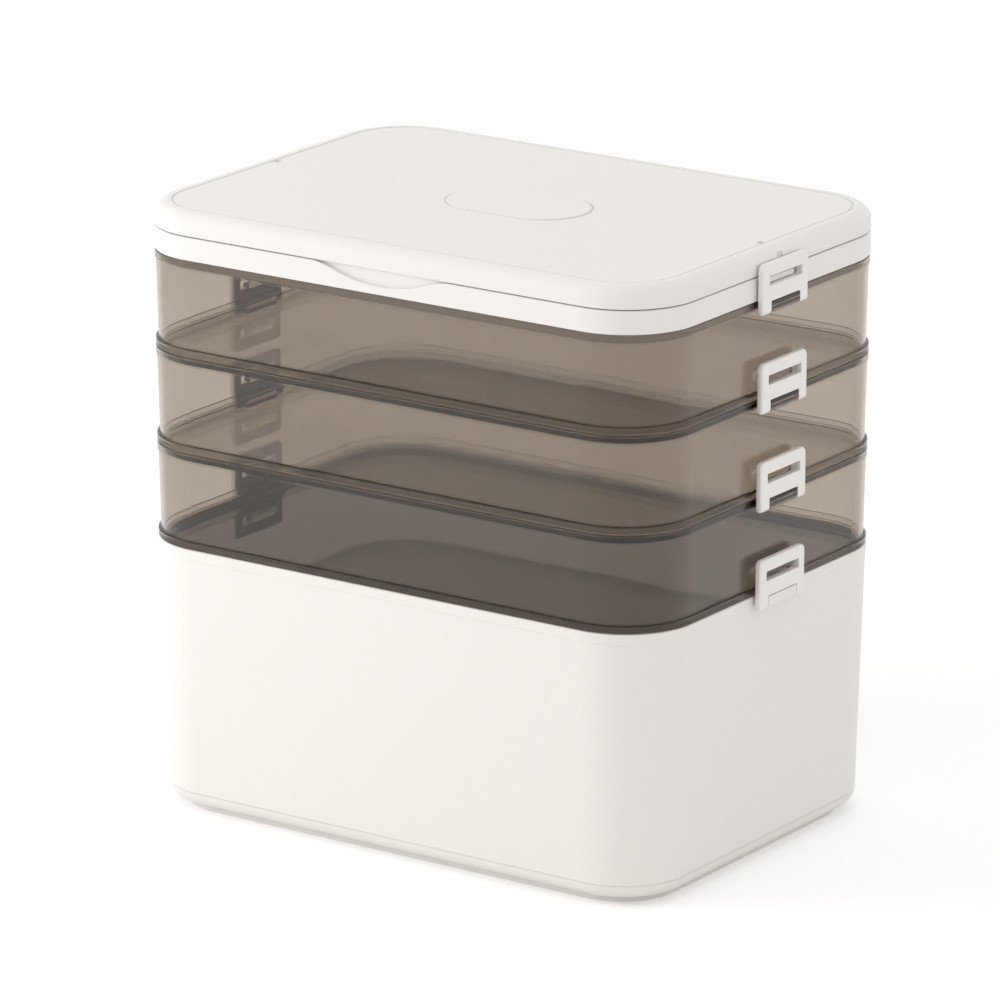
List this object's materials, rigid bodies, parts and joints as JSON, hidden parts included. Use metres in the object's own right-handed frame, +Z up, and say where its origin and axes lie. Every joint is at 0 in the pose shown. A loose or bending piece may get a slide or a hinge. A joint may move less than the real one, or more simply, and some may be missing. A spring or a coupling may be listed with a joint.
{
  "type": "stacking supply box",
  "caption": "Stacking box with an opaque bin, nesting see-through trays, side latches and a framed lid with a flip-up cover, for storing art supplies.",
  "frame": {"origin": "centre of the underside, on the surface that the box stands on", "axes": "+Z up, +X to the right along the long side, the front with the finger scoop faces -Y"},
  "size_m": [0.351, 0.2454, 0.3413],
  "materials": {
    "white_shell": "satin moulded",
    "white_lid": "satin moulded",
    "white_latch": "satin moulded",
    "smoke_tray": "polished, smoke-tinted see-through plastic",
    "pin_steel": "drawn wire"
  },
  "bodies": {
    "base": {"base_bin": "white_shell", "latch_pin_base_right": "pin_steel", "latch_pin_base_left": "pin_steel"},
    "tray_lower": {"tray_lower": "smoke_tray", "latch_pin_lower_right": "pin_steel", "latch_pin_lower_left": "pin_steel"},
    "tray_middle": {"tray_middle": "smoke_tray", "latch_pin_middle_right": "pin_steel", "latch_pin_middle_left": "pin_steel"},
    "tray_upper": {"tray_upper": "smoke_tray", "latch_pin_upper_right": "pin_steel", "latch_pin_upper_left": "pin_steel"},
    "lid_frame": {"lid_frame": "white_lid", "cover_pin_right": "pin_steel", "cover_pin_left": "pin_steel"},
    "lid_cover": {"lid_cover": "white_lid"},
    "latch_base_right": {"latch_base_right": "white_latch"},
    "latch_base_left": {"latch_base_left": "white_latch"},
    "latch_lower_right": {"latch_lower_right": "white_latch"},
    "latch_lower_left": {"latch_lower_left": "white_latch"},
    "latch_middle_right": {"latch_middle_right": "white_latch"},
    "latch_middle_left": {"latch_middle_left": "white_latch"},
    "latch_upper_right": {"latch_upper_right": "white_latch"},
    "latch_upper_left": {"latch_upper_left": "white_latch"}
  },
  "joints": [
    {"name": "tray_lower_lift", "type": "slide", "parent": "base", "child": "tray_lower", "axis": [0, 0, 1], "range_m": [0, 0.055]},
    {"name": "tray_middle_lift", "type": "slide", "parent": "tray_lower", "child": "tray_middle", "axis": [0, 0, 1], "range_m": [0, 0.055]},
    {"name": "tray_upper_lift", "type": "slide", "parent": "tray_middle", "child": "tray_upper", "axis": [0, 0, 1], "range_m": [0, 0.055]},
    {"name": "lid_frame_lift", "type": "slide", "parent": "tray_upper", "child": "lid_frame", "axis": [0, 0, 1], "range_m": [0, 0.055]},
    {"name": "lid_cover_flip", "type": "hinge", "parent": "lid_frame", "child": "lid_cover", "pos_m": [0, 0.1185, 0.3279], "axis": [-1, 0, 0], "range_deg": [0, 100]},
    {"name": "latch_base_right_swing", "type": "hinge", "parent": "base", "child": "latch_base_right", "pos_m": [0.1735, 0, 0.148], "axis": [0, 1, 0], "range_deg": [0, 111]},
    {"name": "latch_base_left_swing", "type": "hinge", "parent": "base", "child": "latch_base_left", "pos_m": [-0.1735, 0, 0.148], "axis": [0, -1, 0], "range_deg": [0, 111]},
    {"name": "latch_lower_right_swing", "type": "hinge", "parent": "tray_lower", "child": "latch_lower_right", "pos_m": [0.1735, 0, 0.202], "axis": [0, 1, 0], "range_deg": [0, 111]},
    {"name": "latch_lower_left_swing", "type": "hinge", "parent": "tray_lower", "child": "latch_lower_left", "pos_m": [-0.1735, 0, 0.202], "axis": [0, -1, 0], "range_deg": [0, 111]},
    {"name": "latch_middle_right_swing", "type": "hinge", "parent": "tray_middle", "child": "latch_middle_right", "pos_m": [0.1735, 0, 0.256], "axis": [0, 1, 0], "range_deg": [0, 111]},
    {"name": "latch_middle_left_swing", "type": "hinge", "parent": "tray_middle", "child": "latch_middle_left", "pos_m": [-0.1735, 0, 0.256], "axis": [0, -1, 0], "range_deg": [0, 111]},
    {"name": "latch_upper_right_swing", "type": "hinge", "parent": "tray_upper", "child": "latch_upper_right", "pos_m": [0.1735, 0, 0.31], "axis": [0, 1, 0], "range_deg": [0, 111]},
    {"name": "latch_upper_left_swing", "type": "hinge", "parent": "tray_upper", "child": "latch_upper_left", "pos_m": [-0.1735, 0, 0.31], "axis": [0, -1, 0], "range_deg": [0, 111]}
  ],
  "couplings": [
    {"joint": "latch_base_right_swing", "follows": "tray_lower_lift", "rad_per_m": 34.907},
    {"joint": "latch_base_left_swing", "follows": "tray_lower_lift", "rad_per_m": 34.907},
    {"joint": "latch_lower_right_swing", "follows": "tray_middle_lift", "rad_per_m": 34.907},
    {"joint": "latch_lower_left_swing", "follows": "tray_middle_lift", "rad_per_m": 34.907},
    {"joint": "latch_middle_right_swing", "follows": "tray_upper_lift", "rad_per_m": 34.907},
    {"joint": "latch_middle_left_swing", "follows": "tray_upper_lift", "rad_per_m": 34.907},
    {"joint": "latch_upper_right_swing", "follows": "lid_frame_lift", "rad_per_m": 34.907},
    {"joint": "latch_upper_left_swing", "follows": "lid_frame_lift", "rad_per_m": 34.907}
  ]
}
